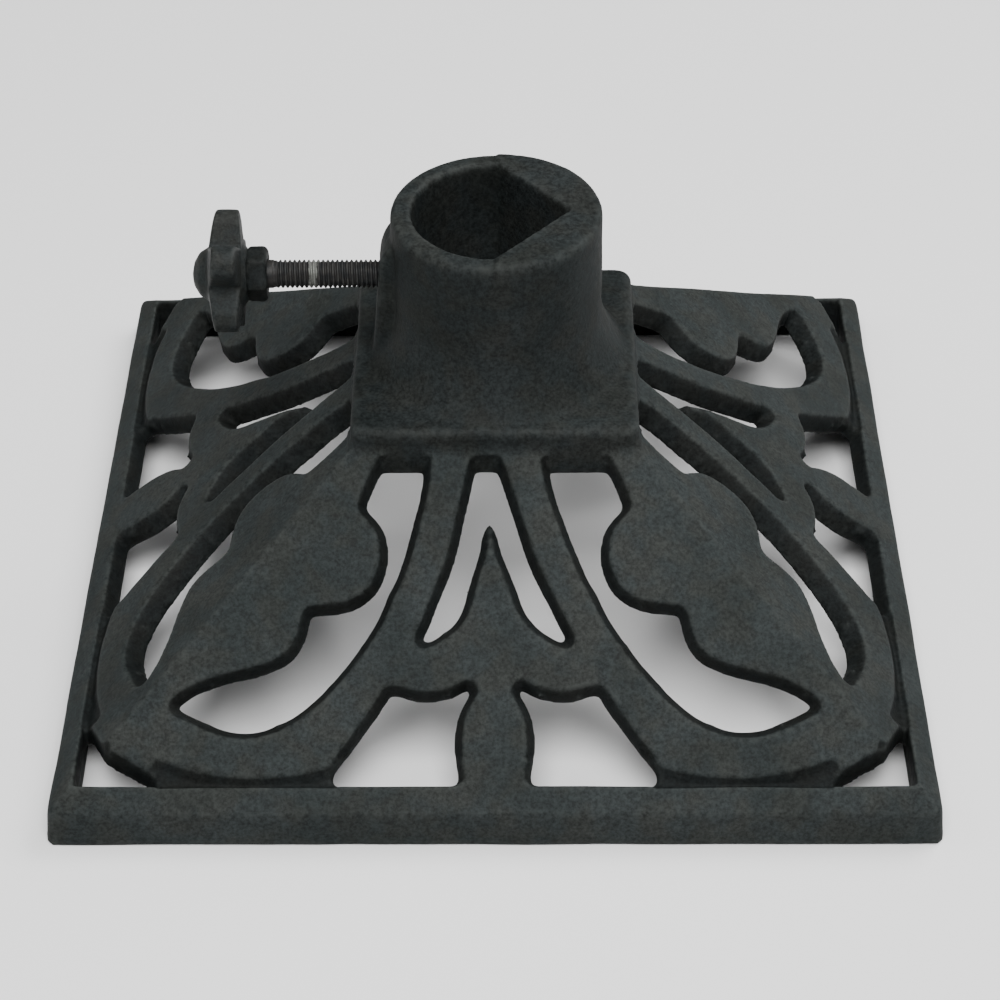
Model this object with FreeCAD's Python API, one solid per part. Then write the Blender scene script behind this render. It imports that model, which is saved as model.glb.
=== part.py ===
import FreeCAD, Part
import math
import os

os.makedirs("parts", exist_ok=True)

# Flag pole stand: a square cast-iron base with pierced sloping sides, a collar
# with a V-shaped socket for the pole, and a star-knob screw that clamps it.
#
# Row frame, in millimetres: origin on the floor under the middle of the base,
# +Z up, +Y to the back, +X away from the knob, which stands on the -X side.

V = FreeCAD.Vector
Z = V(0, 0, 1)
X = V(1, 0, 0)

# ---------------------------------------------------------------- dimensions
# Rim: the square bar the stand rests on
RIM_HALF = 143.0          # half of the 286 mm (11 1/4 in) base, where the slopes meet it
RIM_FLARE = 1.3           # its outer faces lean out by this much down to the floor
RIM_FLARE_Z = 13.0        # height of those faces
RIM_BAR = 6.8             # width of the bar
RIM_CORNER_R = 3.0        # upright outer corners

# Sloping sides: a four-sided pyramid, cut off at the pedestal. Its planes run
# on over the top of the rim.
SLOPE_APEX_Z = 122.3      # where the four planes would meet
SLOPE_FALL = 0.765        # drop per millimetre outwards, 37.4 degrees
SLOPE_THICK = 7.8         # square to the plane
SLOPE_END = 139.0         # ends inside the rim bar
GUTTER_DEPTH = 2.6        # shallow gutter between the big ring and the rim
FRONT_LEAN = 0.06         # the bars on the front lean to one side, as cast:
LEAN_FOOT = 97.0          # sideways shift per millimetre inwards of this line

# Pedestal: the square block under the collar, hollow from below
PED_HALF = 47.5
PED_TOP_Z = 92.9
PED_FOOT_Z = 75.6
PED_WALL = 6.5
PED_PLATE = 8.5
PED_CORNER_R = 5.0
PED_EDGE_R = 2.0

# Collar and its V-shaped pole socket
COLLAR_X = 0.8            # the collar sits a little off the middle
COLLAR_TOP_Z = 148.2
COLLAR_R = 34.8
COLLAR_FOOT_R = 44.6
COLLAR_WAIST_Z = 119.0    # the flare starts here
COLLAR_LIP_R = 1.6
SOCKET_R = 28.5           # round half, on the screw's side
SOCKET_APEX = 25.2        # depth of the V, on the far side
SOCKET_APEX_FLAT = 1.6    # half width of the blunt bottom of the V

# Clamp screw, 3/8-16 UNC
SCREW_Z = 123.4
SCREW_R = 4.75
SCREW_TIP_X = -25.5
SCREW_TIP_CHAMFER = 1.0
SCREW_END_X = -93.5
RUN_CLEARANCE = 0.05      # radial

# Boss that carries the screw
BOSS_HALF_WIDTH = 8.4
BOSS_ROUND = 6.4

# Jam nut
NUT_FLATS = 15.875        # 5/8 in across flats
NUT_INNER_X = -76.05
NUT_OUTER_X = -82.4       # 1/4 in thick
NUT_CHAMFER_R = 8.3

# Star knob
KNOB_LOBES = 5
KNOB_FIRST_LOBE = 29.0    # degrees from straight up, towards the back
KNOB_TIP_R = 21.4         # reach of a lobe from the axis
KNOB_LOBE_END_R = 5.4     # round end of a lobe, seen along the axis
KNOB_CORE_R = 11.6
KNOB_BORE_END_X = -94.0
KNOB_PROFILE = [          # half section of the body: (x, distance from the axis)
    (-82.4, 0.0), (-82.4, 8.4), (-84.2, 10.9), (-85.2, KNOB_TIP_R + 1.0),
    (-92.4, KNOB_TIP_R + 1.0), (-95.0, 9.6), (-95.6, 8.8), (-98.2, 7.2),
    (-100.1, 4.2), (-100.9, 0.0)]


# ------------------------------------------------------------------- helpers
def square(half, z):
    return [V(-half, -half, z), V(half, -half, z), V(half, half, z), V(-half, half, z)]


def block(half, z0, z1):
    return Part.makeBox(2 * half, 2 * half, z1 - z0, V(-half, -half, z0))


def tapered(low, high):
    """Solid between a low square of corners and a high one."""
    rings = [low[::-1], high]
    for k in range(4):
        n = (k + 1) % 4
        rings.append([low[k], low[n], high[n], high[k]])
    faces = [Part.Face(Part.makePolygon(r + r[:1])) for r in rings]
    return Part.makeSolid(Part.makeShell(faces))


def smooth(points, z=0.0):
    """One flowing edge through (across, outwards) points."""
    curve = Part.BSplineCurve()
    curve.interpolate([V(x, y, z) for x, y in points])
    return curve.toShape()


def prism(edges, z0, z1):
    """Upright prism over a closed outline drawn at height 0."""
    face = Part.Face(Part.Wire(Part.__sortEdges__(edges)))
    face.translate(V(0, 0, z0))
    return face.extrude(V(0, 0, z1 - z0))


def through(edges, depth=30.0):
    """Cutter square to the back sloping side, from 10 mm above it to a depth below.

    The outline is drawn in plan; it is laid on the plane and swept along the
    plane's normal, so the walls of the opening stand square to the side.
    """
    plan = Part.Wire(Part.__sortEdges__(edges))
    sheet = plane_sheet().common(prism(list(plan.Edges), -20, 140))
    face = max(sheet.Faces, key=lambda f: f.Area)
    up = slope_normal()
    face.translate(up * 10.0)
    return face.extrude(up * -(10.0 + depth))


def slope_normal():
    """Outward normal of the back sloping side."""
    n = V(0, SLOPE_FALL, 1.0)
    n.normalize()
    return n


def plane_sheet():
    """The back side's plane as a large flat sheet."""
    pts = [V(x, d, slope_z(d)) for x, d in ((-150, 30), (150, 30), (150, 150), (-150, 150))]
    return Part.Face(Part.makePolygon(pts + pts[:1]))


def mirrored(shape):
    return shape.mirror(V(0, 0, 0), X)


def on_side(shape, k):
    """A feature drawn for the back side, turned to side k: 2 is the front."""
    s = shape.copy()
    s.rotate(V(0, 0, 0), Z, 90.0 * k)
    return s


def leaning(points, lean):
    return [(x + lean * max(0.0, LEAN_FOOT - y), y) for x, y in points]


def flipped(points):
    return [(-x, y) for x, y in points]


def slope_z(d):
    return SLOPE_APEX_Z - SLOPE_FALL * d


def frustum(d0, d1, drop):
    """Solid under the four sloping planes, between two distances out."""
    return tapered(square(d1, slope_z(d1) - drop), square(d0, slope_z(d0) - drop))


# ------------------------------------------------- openings in a sloping side
# Drawn for the back side: x across, y outwards from the middle of the base.
def spade_opening(lean):
    """The A-shaped slot around the spade at the top of each side."""
    outer = [(0.0, 48.6), (2.6, 50.3), (3.9, 53.1), (6.3, 60.0), (9.1, 67.9),
             (12.2, 76.8), (17.8, 87.4), (21.0, 93.6), (25.0, 99.4)]
    inner = [(25.0, 99.4), (20.9, 97.9), (16.7, 96.0), (13.0, 93.5), (10.5, 90.6),
             (9.0, 87.6), (6.3, 80.7), (3.3, 73.8), (2.3, 69.9), (0.0, 66.4)]
    lines = [outer, inner, flipped(outer), flipped(inner)]
    return through([smooth(leaning(line, lean)) for line in lines])


def crescent_opening(lean):
    """Between the swept bar, which may lean, and the scalloped leaf on the corner."""
    bar = [(20.6, 45.0), (20.9, 54.0), (23.0, 62.0), (24.6, 65.9), (26.4, 70.9),
           (28.5, 75.8), (30.8, 80.7), (34.6, 86.6), (37.4, 91.6), (41.8, 97.4),
           (46.7, 103.1), (51.3, 107.5), (56.0, 111.7), (60.7, 115.1), (65.2, 117.8),
           (69.9, 119.8), (74.6, 121.2), (80.1, 121.9), (83.9, 121.7), (88.6, 120.9),
           (93.3, 119.4), (97.4, 117.9), (103.6, 115.6)]
    small_lobe = [(36.0, 45.0), (36.4, 50.8), (38.8, 54.6), (41.2, 59.4), (42.6, 62.6)]
    middle_lobe = [(42.6, 62.6), (39.2, 65.6), (36.3, 68.9), (35.1, 72.9), (35.2, 77.7),
                   (36.7, 82.0), (39.2, 85.4), (42.8, 88.0), (47.4, 89.7), (53.6, 90.6),
                   (60.4, 90.9)]
    long_lobe = [(60.4, 90.9), (61.1, 94.6), (62.9, 99.0), (66.2, 102.8), (70.6, 105.0),
                 (75.0, 106.4), (80.1, 107.6), (85.8, 108.6), (92.0, 110.0), (96.8, 111.6),
                 (100.6, 113.4), (103.6, 115.6)]
    bar = leaning(bar, lean)
    top = Part.makeLine(V(bar[0][0], bar[0][1], 0), V(36.0, 45.0, 0))
    return through([smooth(bar), smooth(small_lobe), smooth(middle_lobe),
                    smooth(long_lobe), top])


def foot_opening():
    """Between the centre post, the big ring and the rim."""
    edge = RIM_HALF - RIM_BAR
    scroll = [(4.7, 105.8), (8.0, 109.8), (13.0, 112.3), (19.6, 113.5), (26.2, 113.3),
              (30.7, 112.2), (33.8, 111.6)]
    ring = [(33.8, 111.6), (36.8, 115.8), (41.0, 120.6), (45.0, 125.2), (49.0, 129.3),
            (52.0, 132.3), (52.7, 134.4), (51.2, edge)]
    post = [(4.7, 105.8), (5.3, 108.3), (7.7, 111.6), (10.4, 115.0), (12.2, 118.8),
            (13.0, 123.8), (12.4, 129.3), (11.3, 133.2), (11.8, edge)]
    rim = Part.makeLine(V(11.8, edge, 0), V(51.2, edge, 0))
    return through([smooth(scroll), smooth(ring), smooth(post), rim])


def corner_opening():
    """Beside the ring's tip, inside the corner of the rim."""
    a, b = RIM_HALF - RIM_BAR - 0.6, 107.6
    ring = [(b, a), (109.2, 133.2), (113.6, 130.6), (119.4, 128.0), (125.4, 125.4)]
    half = [smooth(ring), Part.makeLine(V(b, a, 0), V(a - 1.5, a, 0))]
    other = [smooth([(y, x) for x, y in ring]),
             Part.makeLine(V(a, b, 0), V(a, a - 1.5, 0))]
    bend = Part.Arc(V(a - 1.5, a, 0), V(a - 0.44, a - 0.44, 0), V(a, a - 1.5, 0)).toShape()
    return prism(half + other + [bend], 0, 60)


def ring_gutter():
    """Shallow gutter behind the rim, from the foot opening to the corner opening."""
    edge = RIM_HALF - RIM_BAR + 0.6
    ring = [(50.5, 131.6), (56.0, 133.2), (62.9, 134.3), (68.5, 134.9), (75.0, 135.2),
            (82.0, 135.1), (89.4, 134.5), (96.8, 133.4), (103.0, 132.0), (109.0, 130.2)]
    (x0, y0), (x1, y1) = ring[0], ring[-1]
    edges = [smooth(ring),
             Part.makeLine(V(x0, y0, 0), V(x0, edge, 0)),
             Part.makeLine(V(x0, edge, 0), V(x1, edge, 0)),
             Part.makeLine(V(x1, edge, 0), V(x1, y1, 0))]
    return through(edges, GUTTER_DEPTH)


# -------------------------------------------------------------- base casting
def rim_bar():
    """Square bar under the outer end of the slopes, which form its top."""
    outer = tapered(square(RIM_HALF + RIM_FLARE, 0), square(RIM_HALF, RIM_FLARE_Z))
    uprights = [e for e in outer.Edges if e.BoundBox.ZLength > 1]
    outer = outer.makeFillet(RIM_CORNER_R, uprights)
    bar = outer.cut(block(RIM_HALF - RIM_BAR, -1, RIM_FLARE_Z + 1))
    top = block(RIM_HALF, RIM_FLARE_Z, 30).cut(block(RIM_HALF - RIM_BAR, 0, 31))
    return bar.fuse(top).common(frustum(100.0, 164.0, 0))


def sloping_sides():
    drop = SLOPE_THICK * math.hypot(1, SLOPE_FALL)
    shell = frustum(42.0, 158.0, 0).cut(frustum(36.0, 170.0, drop))
    shell = shell.common(block(SLOPE_END, 0, 120)).cut(block(PED_HALF - 2.0, 0, 120))
    for k in range(4):
        lean = FRONT_LEAN if k == 2 else 0.0
        cutters = [spade_opening(lean), corner_opening(),
                   crescent_opening(lean), mirrored(crescent_opening(-lean)),
                   foot_opening(), mirrored(foot_opening()),
                   ring_gutter(), mirrored(ring_gutter())]
        for c in cutters:
            shell = shell.cut(on_side(c, k))
    return shell


def pedestal():
    body = block(PED_HALF, PED_FOOT_Z, PED_TOP_Z)
    uprights = [e for e in body.Edges if e.BoundBox.ZLength > 1]
    body = body.makeFillet(PED_CORNER_R, uprights)
    top = [e for e in body.Edges if e.BoundBox.ZMin > PED_TOP_Z - 1e-6]
    body = body.makeFillet(PED_EDGE_R, top)
    return body.cut(block(PED_HALF - PED_WALL, 0, PED_TOP_Z - PED_PLATE))


def collar():
    r, top, lip = COLLAR_R, COLLAR_TOP_Z, COLLAR_LIP_R
    foot = PED_TOP_Z - 1.0
    k = lip * math.sqrt(0.5)
    edges = [
        Part.makeLine(V(0, 0, foot), V(0, 0, top)),
        Part.makeLine(V(0, 0, top), V(r - lip, 0, top)),
        Part.Arc(V(r - lip, 0, top), V(r - lip + k, 0, top - lip + k),
                 V(r, 0, top - lip)).toShape(),
        Part.makeLine(V(r, 0, top - lip), V(r, 0, COLLAR_WAIST_Z)),
        Part.Arc(V(r, 0, COLLAR_WAIST_Z), V(36.9, 0, 104.0),
                 V(COLLAR_FOOT_R, 0, foot)).toShape(),
        Part.makeLine(V(COLLAR_FOOT_R, 0, foot), V(0, 0, foot))]
    turned = Part.Face(Part.Wire(edges)).revolve(V(0, 0, 0), Z, 360)
    turned.translate(V(COLLAR_X, 0, 0))
    return turned


def boss():
    side = [(0, PED_TOP_Z - 1), (-41.4, PED_TOP_Z - 1), (-39.9, 108.0), (-39.1, 118.0),
            (-38.6, 126.0), (-37.8, 131.8), (-36.6, 135.6), (-34.8, 138.4), (-32.0, 140.4),
            (0, 140.4)]
    pts = [V(x, -BOSS_HALF_WIDTH, z) for x, z in side]
    upright = Part.Face(Part.makePolygon(pts + pts[:1])).extrude(V(0, 2 * BOSS_HALF_WIDTH, 0))
    w, r, nose = BOSS_HALF_WIDTH, BOSS_ROUND, -41.8
    k = r * (1 - math.sqrt(0.5))
    plan = [
        Part.makeLine(V(0, -w, 0), V(nose + r, -w, 0)),
        Part.Arc(V(nose + r, -w, 0), V(nose + k, -w + k, 0), V(nose, -w + r, 0)).toShape(),
        Part.makeLine(V(nose, -w + r, 0), V(nose, w - r, 0)),
        Part.Arc(V(nose, w - r, 0), V(nose + k, w - k, 0), V(nose + r, w, 0)).toShape(),
        Part.makeLine(V(nose + r, w, 0), V(0, w, 0)),
        Part.makeLine(V(0, w, 0), V(0, -w, 0))]
    return upright.common(prism(plan, PED_TOP_Z - 2, 150))


def pole_socket():
    """Round on the screw's side, a V on the far side, right through."""
    r, a, f = SOCKET_R, SOCKET_APEX, SOCKET_APEX_FLAT
    edges = [
        Part.Arc(V(0, r, 0), V(-r, 0, 0), V(0, -r, 0)).toShape(),
        Part.makeLine(V(0, -r, 0), V(a - f, -f, 0)),
        Part.Arc(V(a - f, -f, 0), V(a - 0.4 * f, 0, 0), V(a - f, f, 0)).toShape(),
        Part.makeLine(V(a - f, f, 0), V(0, r, 0))]
    socket = prism(edges, PED_FOOT_Z - 10, COLLAR_TOP_Z + 10)
    socket.translate(V(COLLAR_X, 0, 0))
    return socket


def base_casting():
    body = rim_bar().fuse([sloping_sides(), pedestal(), collar(), boss()])
    body = body.cut(pole_socket())
    hole = Part.makeCylinder(SCREW_R + RUN_CLEARANCE, 40, V(-50, 0, SCREW_Z), X)
    return body.cut(hole).removeSplitter()


# -------------------------------------------------------------- screw and knob
def clamp_screw():
    length = SCREW_TIP_X - SCREW_END_X
    rod = Part.makeCylinder(SCREW_R, length, V(SCREW_END_X, 0, SCREW_Z), X)
    tip = [e for e in rod.Edges
           if e.BoundBox.XLength < 1e-6 and e.BoundBox.XMin > SCREW_TIP_X - 1e-6]
    return rod.makeChamfer(SCREW_TIP_CHAMFER, tip)


def jam_nut():
    x0, x1 = NUT_OUTER_X, NUT_INNER_X
    corner = NUT_FLATS / math.sqrt(3)
    pts = []
    for k in range(6):
        a = math.radians(60 * k + KNOB_FIRST_LOBE)
        pts.append(V(x0, -corner * math.sin(a), SCREW_Z + corner * math.cos(a)))
    nut = Part.Face(Part.makePolygon(pts + pts[:1])).extrude(V(x1 - x0, 0, 0))
    c = corner - NUT_CHAMFER_R
    half = [(x0, 0), (x0, NUT_CHAMFER_R - 0.3), (x0 + c, corner), (x1 - c, corner),
            (x1, NUT_CHAMFER_R - 0.3), (x1, 0)]
    wire = Part.makePolygon([V(x, 0, SCREW_Z + r) for x, r in half + half[:1]])
    nut = nut.common(Part.Face(wire).revolve(V(0, 0, SCREW_Z), X, 360))
    bore = Part.makeCylinder(SCREW_R + RUN_CLEARANCE, 20, V(x0 - 5, 0, SCREW_Z), X)
    return nut.cut(bore)


def knob_lobe(angle):
    """One arm of the star, pointing up before it is turned to its angle."""
    x0, x1 = -96.0, -84.0
    reach = KNOB_TIP_R - KNOB_LOBE_END_R
    pts = [V(x0, -7.4, 5.0), V(x0, -KNOB_LOBE_END_R, reach), V(x0, KNOB_LOBE_END_R, reach),
           V(x0, 7.4, 5.0)]
    arm = Part.Face(Part.makePolygon(pts + pts[:1])).extrude(V(x1 - x0, 0, 0))
    end = Part.makeCylinder(KNOB_LOBE_END_R, x1 - x0, V(x0, 0, reach), X)
    lobe = arm.fuse(end)
    lobe.translate(V(0, 0, SCREW_Z))
    lobe.rotate(V(0, 0, SCREW_Z), X, angle)
    return lobe


def star_knob():
    core = Part.makeCylinder(KNOB_CORE_R, 24, V(-104, 0, SCREW_Z), X)
    star = core.fuse([knob_lobe(-KNOB_FIRST_LOBE + 360.0 / KNOB_LOBES * k)
                      for k in range(KNOB_LOBES)])
    wire = Part.makePolygon([V(x, 0, SCREW_Z + r) for x, r in KNOB_PROFILE + KNOB_PROFILE[:1]])
    body = Part.Face(wire).revolve(V(0, 0, SCREW_Z), X, 360)
    depth = KNOB_PROFILE[0][0] - KNOB_BORE_END_X + 5
    bore = Part.makeCylinder(SCREW_R + RUN_CLEARANCE, depth, V(KNOB_BORE_END_X, 0, SCREW_Z), X)
    return star.common(body).cut(bore).removeSplitter()


# ---------------------------------------------------------------------- export
pieces = {
    "base_casting": base_casting(),
    "clamp_screw": clamp_screw(),
    "jam_nut": jam_nut(),
    "star_knob": star_knob(),
}
for name, shape in pieces.items():
    if shape.ShapeType == "Compound" and len(shape.Solids) == 1:
        shape = shape.Solids[0]
    box = shape.BoundBox
    print(name, "solids", len(shape.Solids), "valid", shape.isValid(),
          "volume cm3 %.1f" % (shape.Volume / 1000),
          "box %.1f %.1f %.1f to %.1f %.1f %.1f" % (box.XMin, box.YMin, box.ZMin,
                                                    box.XMax, box.YMax, box.ZMax))
    shape.exportStep("parts/%s.step" % name)
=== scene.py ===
import math

import bpy
import numpy as np
from mathutils import Matrix, Vector, kdtree, noise


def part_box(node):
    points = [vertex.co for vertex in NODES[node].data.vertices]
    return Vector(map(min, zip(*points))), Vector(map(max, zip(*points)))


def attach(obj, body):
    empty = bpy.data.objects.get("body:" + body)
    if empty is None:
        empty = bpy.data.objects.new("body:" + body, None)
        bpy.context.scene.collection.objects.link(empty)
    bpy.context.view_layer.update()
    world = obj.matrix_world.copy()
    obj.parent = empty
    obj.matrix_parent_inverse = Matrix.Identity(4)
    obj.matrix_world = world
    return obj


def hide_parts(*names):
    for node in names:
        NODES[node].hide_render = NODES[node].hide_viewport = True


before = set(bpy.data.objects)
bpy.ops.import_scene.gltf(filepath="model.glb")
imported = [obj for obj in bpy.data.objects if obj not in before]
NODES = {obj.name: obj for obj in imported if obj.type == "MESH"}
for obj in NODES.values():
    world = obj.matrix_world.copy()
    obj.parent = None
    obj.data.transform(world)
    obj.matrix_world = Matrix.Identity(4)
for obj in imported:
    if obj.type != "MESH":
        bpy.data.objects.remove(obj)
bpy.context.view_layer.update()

# Flag pole stand, in metres, in the row frame: origin on the floor under the
# middle of the base, +Z up, +Y to the back, the clamp screw on the -X side.

MM = 0.001

# Places worked out from the frame
SCREW_LO, SCREW_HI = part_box("clamp_screw")
SCREW_Z = (SCREW_LO.z + SCREW_HI.z) / 2
SCREW_R = (SCREW_HI.z - SCREW_LO.z) / 2
NUT_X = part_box("jam_nut")[1].x          # the nut's face towards the collar
BASE_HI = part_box("base_casting")[1]
COLLAR_TOP = BASE_HI.z
BASE_HALF = BASE_HI.x

# Spacing of the points of each finished mesh
CASTING_GRAIN = 0.80 * MM
KNOB_GRAIN = 0.40 * MM
NUT_GRAIN = 0.28 * MM

# The four sloping sides: planes that would meet over the middle
SLOPE_APEX_Z = 122.3 * MM
SLOPE_FALL = 0.765
SLOPE_THICK = 7.8 * MM
RIM_HALF = 143.0 * MM     # to the outer edge of the rim's top
SLOPE_START = 49.0 * MM   # distances out from the middle, between which the
SLOPE_END = 135.5 * MM    # sides are pierced
GUTTER_START = 129.0 * MM
GUTTER_DEPTH = 2.6 * MM
DRAFT = 2.8 * MM          # how far the walls of the openings lean out,
DRAFT_DEPTH = 6.4 * MM    # going up this much of the sides' thickness
GUTTER_DRAFT_DEPTH = GUTTER_DEPTH - 0.2 * MM
SKIN = 0.6 * MM           # nearer than this to a face, a point counts as on it
WALL_TURN = 1.0 * MM      # the walls turn into face and underside over this much

# The clamp screw, 3/8-16 UNC
PITCH = 1.5875 * MM
THREAD_DEPTH = 0.75 * MM
THREAD_ROOT = 0.14        # share of half a pitch that is flat at the root,
THREAD_FLANK = 0.70       # and share that is flank
PAINTED_THIN = 0.25 * MM  # the plain end next to the nut is this much thinner
PAINT_FILLET = (2.6 * MM, 2.2 * MM)    # length and height of paint at the nut
THREAD_START = (2.6 * MM, 4.2 * MM)    # from the nut: where the thread comes in
RUBBED_START = (3.0 * MM, 4.5 * MM)    # and where its crests begin to be rubbed
TIP_LENGTH = 1.3 * MM
TIP_DROP = 1.2 * MM
RUBBED_X = -60.3 * MM     # where the zinc is rubbed bright
RUBBED_WIDTH = 2.2 * MM

# The collar's mouth
COLLAR_X = 0.8 * MM
MOUTH_STEP = 0.7 * MM     # the V half of the mouth stands this much higher,
MOUTH_RISE = (6.0 * MM, 1.5 * MM)      # rising between these depths under the top

# The countersink of the screw's hole, in the nose of the boss
NOSE_X = (-42.0 * MM, -37.0 * MM)      # the nose lies between these
SINK_DEPTH = 1.8 * MM
SINK_WIDTH = 2.2 * MM

# The paint: painted light and shade on it, 0 for full painted shade to 1 for the sides'
# faces, and its shine
# the collar and pedestal are painted half in shade; the knob and nut take the same level
COLLAR_PAINTED_LIGHT = 0.5
PAINTED_LIGHT_FADE = (0.25 * MM, 1.0 * MM)      # depths between which the painted light ends
PAINT_SPECULAR = 0.07


# ------------------------------------------------------------------- meshes
def smoothstep(low, high, value):
    t = np.clip((value - low) / (high - low), 0.0, 1.0)
    return t * t * (3.0 - 2.0 * t)


def new_object(name, mesh, body, slot, *nodes):
    """Puts a mesh in the scene, on its body and in place of its CAD nodes."""
    obj = bpy.data.objects.new(name, mesh)
    bpy.context.scene.collection.objects.link(obj)
    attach(obj, body)
    if nodes:
        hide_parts(*nodes)
    return obj


def smooth_shade(mesh):
    mesh.polygons.foreach_set("use_smooth", [True] * len(mesh.polygons))
    mesh.update()


def voxels(source, name, size):
    """A new even-grained mesh of the same shape."""
    work = bpy.data.objects.new(name + "_work", source.copy())
    bpy.context.scene.collection.objects.link(work)
    mod = work.modifiers.new("voxels", "REMESH")
    mod.mode = "VOXEL"
    mod.voxel_size = size
    mod.use_smooth_shade = True
    graph = bpy.context.evaluated_depsgraph_get()
    mesh = bpy.data.meshes.new_from_object(work.evaluated_get(graph))
    mesh.name = name
    mesh.materials.clear()
    bpy.data.objects.remove(work)
    return mesh


def points_of(mesh):
    co = np.empty(len(mesh.vertices) * 3)
    mesh.vertices.foreach_get("co", co)
    return co.reshape(-1, 3)


def set_points(mesh, co):
    mesh.vertices.foreach_set("co", co.ravel())
    mesh.update()


def edges_of(mesh):
    """The edges, as pairs of points, and how many of them meet at each point."""
    e = np.empty(len(mesh.edges) * 2, np.int64)
    mesh.edges.foreach_get("vertices", e)
    return e.reshape(-1, 2), np.bincount(e, minlength=len(mesh.vertices)).astype(float)


def neighbour_mean(co, edges, count):
    """For each point, the mean of the points it has an edge to."""
    total = np.empty_like(co)
    for axis in range(co.shape[1]):
        total[:, axis] = (np.bincount(edges[:, 0], co[edges[:, 1], axis], len(co))
                          + np.bincount(edges[:, 1], co[edges[:, 0], axis], len(co)))
    return total / count[:, None]


def soften(mesh, rounds, weight=None):
    """Rounds every edge, as sand casting and thick paint do."""
    co, (edges, count) = points_of(mesh), edges_of(mesh)
    share = 0.5 if weight is None else 0.5 * weight[:, None]
    for _ in range(rounds):
        co += share * (neighbour_mean(co, edges, count) - co)
    set_points(mesh, co)


def store(mesh, name, values):
    layer = mesh.attributes.new(name, "FLOAT", "POINT")
    layer.data.foreach_set("value", np.ascontiguousarray(values, np.float32))


def normals_of(mesh):
    normals = np.empty(len(mesh.vertices) * 3)
    mesh.vertex_normals.foreach_get("vector", normals)
    return normals.reshape(-1, 3)


def swell(mesh, by):
    """Gives back what softening took off."""
    set_points(mesh, points_of(mesh) + normals_of(mesh) * by)


def edge_wear_and_highlight(mesh, full):
    """How convex the surface is at each point, 0 to 1, kept for the paint as edge wear
    and painted highlight. It is 1 where the point stands this far or more out of its
    neighbours."""
    co, (edges, count) = points_of(mesh), edges_of(mesh)
    normals = normals_of(mesh)
    bulge = np.sum((co - neighbour_mean(co, edges, count)) * normals, axis=1)[:, None]
    for _ in range(3):
        bulge = 0.5 * bulge + 0.5 * neighbour_mean(bulge, edges, count)
    store(mesh, "wear_and_highlight", np.clip(bulge[:, 0] / full, 0.0, 1.0))


def uneven(mesh, size, depth, seed):
    """Shallow waves, as a hand-made pattern and a sand mould leave them."""
    co, normals = points_of(mesh), normals_of(mesh)
    shift = Vector((seed, 2.0 * seed, -seed))
    wave = np.array([noise.noise(Vector(p) / size + shift) for p in co])
    set_points(mesh, co + normals * (wave * depth)[:, None])


# ----------------------------------------------------------- the sloping sides
def sloping_side(co):
    """For each point: its side's outward normal, its depth under that side's
    plane and how far out from the middle it is."""
    across, along = np.abs(co[:, 0]), np.abs(co[:, 1])
    out = np.maximum(across, along)
    slant = math.hypot(1.0, SLOPE_FALL)
    up = np.zeros_like(co)
    up[:, 0] = np.where(across >= along, np.sign(co[:, 0]) * SLOPE_FALL, 0.0)
    up[:, 1] = np.where(across >= along, 0.0, np.sign(co[:, 1]) * SLOPE_FALL)
    up[:, 2] = 1.0
    up /= slant
    depth = (SLOPE_APEX_Z - SLOPE_FALL * out - co[:, 2]) / slant
    return up, depth, out


def draft(mesh):
    """Leans the walls of the openings outwards, so that the pattern drew."""
    co, normals = points_of(mesh), normals_of(mesh)
    up, depth, out = sloping_side(co)
    facing = np.sum(normals * up, axis=1)
    pierced = (out > SLOPE_START) & (out < SLOPE_END)
    pierced &= (depth > -SKIN) & (depth < SLOPE_THICK + 0.4 * MM)
    wall = pierced & (np.abs(facing) < 0.5) & (depth > SKIN)
    wall &= depth < SLOPE_THICK - 0.5 * MM
    top = pierced & (facing > 0.3) & (depth < 1.0 * MM)
    # how far each point of the face and the walls is from the nearest brink
    brink = co[wall] + up[wall] * depth[wall, None]
    tree = kdtree.KDTree(len(brink))
    for i, p in enumerate(brink):
        tree.insert(p, i)
    tree.balance()
    moved = np.nonzero(top | wall)[0]
    near = np.array([tree.find(co[i] + up[i] * depth[i])[2] for i in moved])
    deep = np.where(out[moved] > GUTTER_START, GUTTER_DRAFT_DEPTH, DRAFT_DEPTH)
    sunk = np.zeros((len(co), 1))
    sunk[moved, 0] = deep * np.clip(1.0 - near / DRAFT, 0.0, 1.0)
    # evened along the edge, so that the grain of the mesh doesn't show
    edges, count = edges_of(mesh)
    for _ in range(2):
        sunk[moved] = 0.5 * (sunk + neighbour_mean(sunk, edges, count))[moved]
    co[moved] -= up[moved] * np.maximum(sunk[moved, 0] - depth[moved], 0.0)[:, None]
    set_points(mesh, co)


def opening_walls(mesh):
    """1 on the walls of the openings, 0 at their brink, their foot and elsewhere."""
    up, depth, out = sloping_side(points_of(mesh))
    facing = np.sum(normals_of(mesh) * up, axis=1)
    foot = SLOPE_THICK - SKIN
    wall = smoothstep(SKIN, SKIN + WALL_TURN, depth) * (np.abs(facing) < 0.8)
    wall *= 1.0 - smoothstep(foot - WALL_TURN, foot, depth)
    return wall * (out > SLOPE_START + 1.0 * MM) * (out < SLOPE_END)


def true_planes(mesh):
    """Brings what stands above the sloping planes down to them, without ripples."""
    co, normals = points_of(mesh), normals_of(mesh)
    up, depth, out = sloping_side(co)
    proud = (np.sum(normals * up, axis=1) > 0.5) & (np.abs(depth) < 1.0 * MM)
    proud &= (out > SLOPE_START) & (out < RIM_HALF)
    co += up * np.where(proud, np.minimum(depth, 0.0), 0.0)[:, None]
    set_points(mesh, co)


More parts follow.
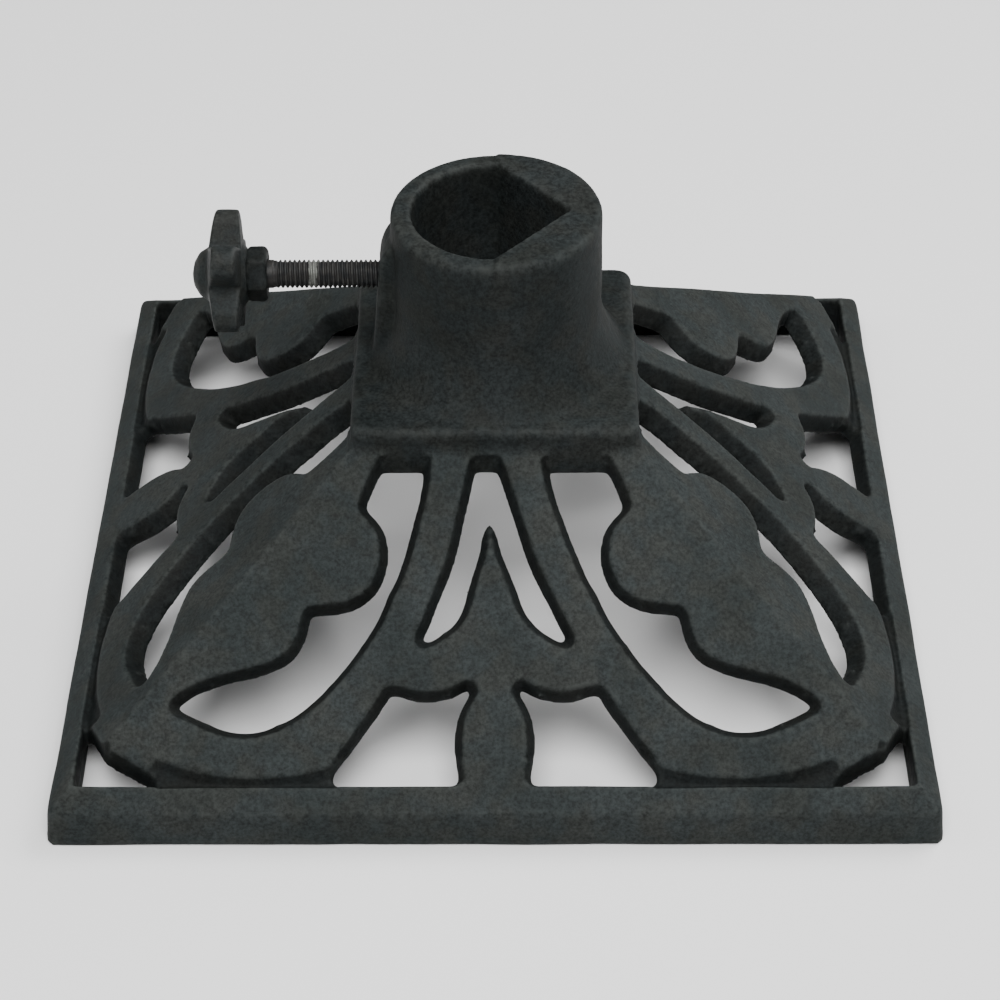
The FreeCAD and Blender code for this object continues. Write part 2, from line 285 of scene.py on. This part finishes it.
def painted_light_and_shade(mesh):
    """How light the paint is drawn, as painted light and shade: 0, full painted shade, on the
    walls of the openings; half on the collar and pedestal; 1 on the sides' faces and the
    rim's top and outside.
    """
    up, depth, out = sloping_side(points_of(mesh))
    facing = np.sum(normals_of(mesh) * up, axis=1)
    slopes = smoothstep(SLOPE_START - 1.0 * MM, SLOPE_START + 1.0 * MM, out)
    # painted shade on the walls of the openings and the rim's inner walls, painted light on
    # the sides' faces
    face = 1.0 - smoothstep(*PAINTED_LIGHT_FADE, depth)
    rim = smoothstep(SLOPE_END, SLOPE_END + 1.5 * MM, out) * smoothstep(-0.5, 0.1, facing)
    sides = slopes * np.maximum(face, rim)
    store(mesh, "painted_light", sides + (1.0 - slopes) * COLLAR_PAINTED_LIGHT)


# ----------------------------------------------------------------- the pieces
def base_casting():
    mesh = voxels(NODES["base_casting"].data, "stand_rough", CASTING_GRAIN)
    draft(mesh)
    mesh = voxels(mesh, "stand_casting", CASTING_GRAIN)
    co = points_of(mesh)
    out = np.maximum(np.abs(co[:, 0]), np.abs(co[:, 1]))
    # the foot of the rim and the lip of the mouth stay crisper than the rest
    crisp = (co[:, 2] < 3 * MM) & (out > BASE_HALF - 3 * MM)
    crisp |= co[:, 2] > COLLAR_TOP - 1.5 * MM
    soften(mesh, rounds=3, weight=np.where(crisp, 0.4, 1.0))
    soften(mesh, rounds=8, weight=opening_walls(mesh))
    swell(mesh, 0.32 * MM)
    true_planes(mesh)

    co = points_of(mesh)
    # the V half of the mouth was moulded a little higher than the round half
    at_mouth = smoothstep(COLLAR_TOP - MOUTH_RISE[0], COLLAR_TOP - MOUTH_RISE[1], co[:, 2])
    v_half = smoothstep(COLLAR_X - 0.4 * MM, COLLAR_X + 0.4 * MM, co[:, 0])
    co[:, 2] += MOUTH_STEP * at_mouth * v_half
    # the screw's hole is countersunk
    off_axis = np.hypot(co[:, 1], co[:, 2] - SCREW_Z)
    on_nose = (co[:, 0] > NOSE_X[0]) & (co[:, 0] < NOSE_X[1])
    sink = SINK_DEPTH * (1.0 - smoothstep(SCREW_R, SCREW_R + SINK_WIDTH, off_axis))
    co[:, 0] += np.where(on_nose, sink, 0.0)
    co[:, 2] = np.maximum(co[:, 2], 0.0)
    set_points(mesh, co)
    soften(mesh, rounds=1)
    painted_light_and_shade(mesh)
    uneven(mesh, size=28 * MM, depth=0.30 * MM, seed=3.1)
    uneven(mesh, size=8 * MM, depth=0.08 * MM, seed=7.7)
    edge_wear_and_highlight(mesh, full=0.10 * MM)
    smooth_shade(mesh)
    mesh.materials.append(casting_paint())
    return new_object("stand_casting", mesh, "base", "painted_casting", "base_casting")


def star_knob():
    mesh = voxels(NODES["star_knob"].data, "knob_casting", KNOB_GRAIN)
    soften(mesh, rounds=7)
    swell(mesh, 0.15 * MM)
    uneven(mesh, size=7 * MM, depth=0.22 * MM, seed=1.3)
    edge_wear_and_highlight(mesh, full=0.05 * MM)
    # painted light: the knob takes the collar's level of painted shade
    store(mesh, "painted_light", np.full(len(mesh.vertices), COLLAR_PAINTED_LIGHT))
    smooth_shade(mesh)
    mesh.materials.append(knob_paint())
    return new_object("knob_casting", mesh, "knob", "painted_knob", "star_knob")


def jam_nut():
    mesh = voxels(NODES["jam_nut"].data, "nut", NUT_GRAIN)
    soften(mesh, rounds=26)
    swell(mesh, 0.32 * MM)
    uneven(mesh, size=5 * MM, depth=0.34 * MM, seed=4.2)
    edge_wear_and_highlight(mesh, full=0.04 * MM)
    # painted light: the nut takes the collar's level of painted shade
    store(mesh, "painted_light", np.full(len(mesh.vertices), COLLAR_PAINTED_LIGHT))
    smooth_shade(mesh)
    mesh.materials.append(nut_paint())
    return new_object("nut", mesh, "knob", "painted_nut", "jam_nut")


def thread_height(phase):
    """Height of a 60 degree thread over one pitch, 0 at the root and 1 at the crest."""
    rise = np.abs(((phase % 1.0) - 0.5) * 2.0)
    flank = np.clip((rise - THREAD_ROOT) / THREAD_FLANK, 0.0, 1.0)
    # the ends of the curve are left out, so that root and crest stay a little sharp
    return smoothstep(0.0, 1.0, flank * 0.86 + 0.07)


def clamp_screw():
    around, per_pitch = 48, 12
    x0, x1 = SCREW_LO.x, SCREW_HI.x
    fillet_length, fillet_height = PAINT_FILLET
    rings = int((x1 - x0) / PITCH * per_pitch)
    x = np.linspace(x0, x1, rings + 1)
    angle = np.arange(around) * 2 * math.pi / around
    xx, aa = np.meshgrid(x, angle, indexing="ij")
    height = thread_height(xx / PITCH - aa / (2 * math.pi))
    from_nut = xx - NUT_X
    threaded = smoothstep(*THREAD_START, from_nut)
    radius = SCREW_R - THREAD_DEPTH * (1.0 - height) * threaded
    # paint gathers in a small fillet against the nut
    fillet = fillet_height * (1.0 - smoothstep(0.0, fillet_length, from_nut))
    radius += np.where(from_nut > -0.01 * MM, fillet, 0.0) - PAINTED_THIN * (1.0 - threaded)
    tip = np.clip((x1 - xx) / TIP_LENGTH, 0.0, 1.0)
    radius = np.minimum(radius, SCREW_R - TIP_DROP * (1.0 - tip))
    verts = np.stack([xx, radius * np.sin(-aa), SCREW_Z + radius * np.cos(aa)], -1)
    verts = verts.reshape(-1, 3).tolist()
    faces = []
    for i in range(rings):
        for j in range(around):
            k = (j + 1) % around
            faces.append((i * around + j, (i + 1) * around + j,
                          (i + 1) * around + k, i * around + k))
    faces.append(tuple(range(around)))
    faces.append(tuple((rings + 1) * around - 1 - j for j in range(around)))
    mesh = bpy.data.meshes.new("threaded_stud")
    mesh.from_pydata(verts, [], faces)
    smooth_shade(mesh)
    mesh.materials.append(screw_steel())
    return new_object("threaded_stud", mesh, "screw", "screw_steel", "clamp_screw")


# ------------------------------------------------------------------ materials
class Shader:
    """A small helper for building a node material in object space, in metres."""

    def __init__(self, name):
        self.material = bpy.data.materials.new(name)
        self.material.use_nodes = True
        self.tree = self.material.node_tree
        self.bsdf = self.tree.nodes["Principled BSDF"]
        self.coords = self.add("ShaderNodeTexCoord").outputs["Object"]

    def add(self, kind, **settings):
        node = self.tree.nodes.new(kind)
        for key, value in settings.items():
            setattr(node, key, value)
        return node

    def link(self, source, target):
        self.tree.links.new(source, target)

    def noise(self, size, detail=3.0, rough=0.55, offset=0.0):
        move = self.add("ShaderNodeMapping")
        move.inputs["Location"].default_value = (offset, -offset, 2 * offset)
        self.link(self.coords, move.inputs["Vector"])
        tex = self.add("ShaderNodeTexNoise")
        tex.inputs["Scale"].default_value = 1.0 / size
        tex.inputs["Detail"].default_value = detail
        tex.inputs["Roughness"].default_value = rough
        self.link(move.outputs[0], tex.inputs["Vector"])
        return tex.outputs["Fac"]

    def cells(self, size):
        tex = self.add("ShaderNodeTexVoronoi")
        tex.inputs["Scale"].default_value = 1.0 / size
        self.link(self.coords, tex.inputs["Vector"])
        return tex.outputs["Distance"]

    def span(self, value, low, high, out_low=0.0, out_high=1.0):
        node = self.add("ShaderNodeMapRange", interpolation_type="SMOOTHSTEP")
        for key, number in (("From Min", low), ("From Max", high),
                            ("To Min", out_low), ("To Max", out_high)):
            node.inputs[key].default_value = number
        self.link(value, node.inputs["Value"])
        return node.outputs["Result"]

    def math(self, operation, a, b=0.0):
        node = self.add("ShaderNodeMath", operation=operation)
        for socket, value in zip(node.inputs, (a, b)):
            if isinstance(value, (int, float)):
                socket.default_value = value
            else:
                self.link(value, socket)
        return node.outputs[0]

    def mix(self, factor, a, b):
        node = self.add("ShaderNodeMix", data_type="RGBA")
        self.link(factor, node.inputs["Factor"])
        for key, value in (("A", a), ("B", b)):
            socket = [s for s in node.inputs if s.name == key and s.type == "RGBA"][0]
            if isinstance(value, tuple):
                socket.default_value = (*value, 1.0)
            else:
                self.link(value, socket)
        return [s for s in node.outputs if s.type == "RGBA"][0]

    def tint(self, colour, by):
        """Multiplies a colour by another colour, or by a value."""
        node = self.add("ShaderNodeVectorMath", operation="MULTIPLY")
        self.link(colour, node.inputs[0])
        self.link(by, node.inputs[1])
        return node.outputs[0]

    def bump(self, height, distance, strength=1.0, after=None):
        node = self.add("ShaderNodeBump")
        node.inputs["Distance"].default_value = distance
        node.inputs["Strength"].default_value = strength
        self.link(height, node.inputs["Height"])
        if after is not None:
            self.link(after, node.inputs["Normal"])
        return node.outputs["Normal"]

    def attribute(self, name):
        return self.add("ShaderNodeAttribute", attribute_name=name).outputs["Fac"]


def cast_paint(name, dark, light, wear_and_highlight, grain, shaded_tone=0.40, rough=0.68):
    """Thin matt black paint over a sand-cast skin: its colours, the size of its
    grain, how dark it is under full painted shade and its mean roughness."""
    s = Shader(name)
    fine = s.noise(1.1 * grain, 4.0, 0.65)
    sand = s.noise(2.6 * grain, 3.0, 0.6, 0.31)
    lumps = s.noise(7.5 * grain, 2.0, 0.5, 0.57)
    patches = s.noise(30 * grain, 3.0, 0.55, 0.83)
    warmth = s.noise(12 * grain, 2.0, 0.5, 1.37)
    pits = s.span(s.cells(3.1 * grain), 0.05, 0.32)

    body = s.mix(s.span(patches, 0.36, 0.64), dark, light)
    warm = s.mix(s.span(warmth, 0.40, 0.62), (0.97, 1.0, 1.03), (1.05, 1.0, 0.96))
    speckle = s.math("ADD", s.span(fine, 0.33, 0.67, 0.62, 1.20),
                     s.span(sand, 0.33, 0.67, -0.12, 0.22))
    # painted shade: the tone is darker where the painted light attribute is low
    painted_light_tone = s.span(s.attribute("painted_light"), 0.0, 1.0, shaded_tone, 1.0)
    tone = s.tint(s.tint(s.tint(body, warm), speckle), painted_light_tone)
    # edge wear and painted highlight: convex edges are drawn lighter and glossier
    wear_and_highlight_mask = s.math("MULTIPLY", s.attribute("wear_and_highlight"), s.span(sand, 0.38, 0.62, 0.10, 0.60))
    s.link(s.mix(wear_and_highlight_mask, tone, wear_and_highlight), s.bsdf.inputs["Base Color"])

    uneven_gloss = s.math("ADD", s.span(sand, 0.3, 0.7, rough - 0.07, rough + 0.08),
                          s.span(fine, 0.3, 0.7, -0.05, 0.05))
    s.link(s.math("SUBTRACT", uneven_gloss, s.math("MULTIPLY", wear_and_highlight_mask, 0.10)),
           s.bsdf.inputs["Roughness"])
    s.bsdf.inputs["Specular IOR Level"].default_value = PAINT_SPECULAR

    relief = s.bump(lumps, 0.35 * grain, 0.55)
    relief = s.bump(sand, 0.26 * grain, 0.65, relief)
    relief = s.bump(pits, 0.10 * grain, 0.45, relief)
    relief = s.bump(fine, 0.14 * grain, 0.80, relief)
    s.link(relief, s.bsdf.inputs["Normal"])
    return s.material


def casting_paint():
    return cast_paint("painted_cast_iron", (0.0180, 0.0214, 0.0206), (0.0236, 0.0272, 0.0264),
                      (0.040, 0.044, 0.042), MM)


def knob_paint():
    return cast_paint("painted_knob_iron", (0.0180, 0.0212, 0.0204), (0.0260, 0.0290, 0.0280),
                      (0.045, 0.048, 0.046), 0.7 * MM, rough=0.55)


def nut_paint():
    return cast_paint("painted_nut_steel", (0.0100, 0.0118, 0.0114), (0.0140, 0.0160, 0.0156),
                      (0.030, 0.033, 0.031), 0.5 * MM, rough=0.58)


def screw_steel():
    """Dark painted thread, its crests rubbed, with one band of bright zinc."""
    s = Shader("threaded_steel")
    split = s.add("ShaderNodeSeparateXYZ")
    s.link(s.coords, split.inputs[0])
    x, y, z = split.outputs
    height = s.math("SUBTRACT", z, SCREW_Z)
    squares = s.math("ADD", s.math("MULTIPLY", y, y), s.math("POWER", height, 2.0))
    from_axis = s.math("SQRT", squares)
    crest = s.math("MULTIPLY", s.span(from_axis, SCREW_R - 0.40 * MM, SCREW_R - 0.02 * MM),
                   s.span(x, NUT_X + RUBBED_START[0], NUT_X + RUBBED_START[1]))
    blotch = s.noise(2.6 * MM, 3.0, 0.6)
    fine = s.noise(0.35 * MM, 3.0, 0.6, 0.4)

    off_band = s.math("ABSOLUTE", s.math("SUBTRACT", x, RUBBED_X))
    ragged = s.math("ADD", off_band, s.span(blotch, 0.3, 0.7, -0.6 * MM, 0.6 * MM))
    band = s.span(ragged, 0.45 * RUBBED_WIDTH, 0.75 * RUBBED_WIDTH, 1.0, 0.0)
    rubbed = s.math("MULTIPLY", crest, s.span(blotch, 0.42, 0.68, 0.02, 0.12))
    bare = s.math("MAXIMUM", band, rubbed)

    paint = s.mix(s.span(blotch, 0.35, 0.65), (0.008, 0.009, 0.0095), (0.015, 0.014, 0.013))
    zinc = s.mix(s.span(fine, 0.3, 0.7), (0.11, 0.115, 0.105), (0.19, 0.195, 0.18))
    s.link(s.mix(bare, paint, zinc), s.bsdf.inputs["Base Color"])
    s.link(s.math("MULTIPLY", bare, 0.6), s.bsdf.inputs["Metallic"])
    s.link(s.span(fine, 0.3, 0.7, 0.46, 0.62), s.bsdf.inputs["Roughness"])
    s.bsdf.inputs["Specular IOR Level"].default_value = 0.25
    s.link(s.bump(fine, 0.05 * MM, 0.6), s.bsdf.inputs["Normal"])
    return s.material


# ---------------------------------------------------------------------- stage
def floor():
    half = 4.0
    below = 0.2 * MM          # kept clear of the stand's underside
    corners = [(-half, -half, 0), (half, -half, 0), (half, half, 0), (-half, half, 0)]
    mesh = bpy.data.meshes.new("floor")
    mesh.from_pydata(corners, [], [(0, 1, 2, 3)])
    s = Shader("pale_floor")
    s.bsdf.inputs["Base Color"].default_value = (0.86, 0.86, 0.86, 1)
    s.bsdf.inputs["Roughness"].default_value = 0.9
    s.bsdf.inputs["Specular IOR Level"].default_value = 0.1
    mesh.materials.append(s.material)
    obj = bpy.data.objects.new("floor", mesh)
    obj.location.z = -below
    bpy.context.scene.collection.objects.link(obj)


def softbox(name, place, size, power, aim=(0, 0, 0.06)):
    """A square light of the given size in metres and power in watts."""
    data = bpy.data.lights.new(name, "AREA")
    data.shape, data.size, data.energy = "SQUARE", size, power
    obj = bpy.data.objects.new(name, data)
    obj.location = place
    obj.rotation_mode = "QUATERNION"
    obj.rotation_quaternion = (Vector(aim) - Vector(place)).to_track_quat("-Z", "Y")
    bpy.context.scene.collection.objects.link(obj)


def studio():
    softbox("front", (0.0, -0.9, 1.8), 1.3, 60)
    softbox("behind_right", (1.1, 0.9, 1.6), 1.3, 35)
    softbox("left", (-1.5, 0.0, 1.2), 1.0, 7)
    softbox("right", (1.5, 0.0, 1.2), 1.0, 7)
    softbox("overhead", (0.0, 0.0, 2.0), 3.0, 10)
    world = bpy.data.worlds.new("studio")
    world.use_nodes = True
    back = world.node_tree.nodes["Background"]
    back.inputs["Color"].default_value = (0.95, 0.97, 1.0, 1)
    back.inputs["Strength"].default_value = 0.05
    bpy.context.scene.world = world


def camera():
    """The photograph's viewpoint, worked out from where the stand's edges lie in it."""
    place = Vector((0.0076, -0.7510, 0.6361))
    down, yaw, roll = (math.radians(angle) for angle in (39.103, -0.482, -0.415))
    ahead = Vector((math.sin(yaw) * math.cos(down), math.cos(yaw) * math.cos(down),
                    -math.sin(down)))
    right = Vector((math.cos(yaw), -math.sin(yaw), 0.0))
    up = right.cross(ahead)
    side = math.cos(roll) * right + math.sin(roll) * up
    top = math.cos(roll) * up - math.sin(roll) * right
    data = bpy.data.cameras.new("camera")
    data.sensor_width, data.lens = 36.0, 97.54
    data.clip_start, data.clip_end = 0.05, 20.0
    obj = bpy.data.objects.new("camera", data)
    turn = Matrix((side, top, -ahead)).transposed().to_4x4()
    obj.matrix_world = Matrix.Translation(place) @ turn
    bpy.context.scene.collection.objects.link(obj)
    bpy.context.scene.camera = obj


base_casting()
star_knob()
jam_nut()
clamp_screw()
floor()
studio()
camera()
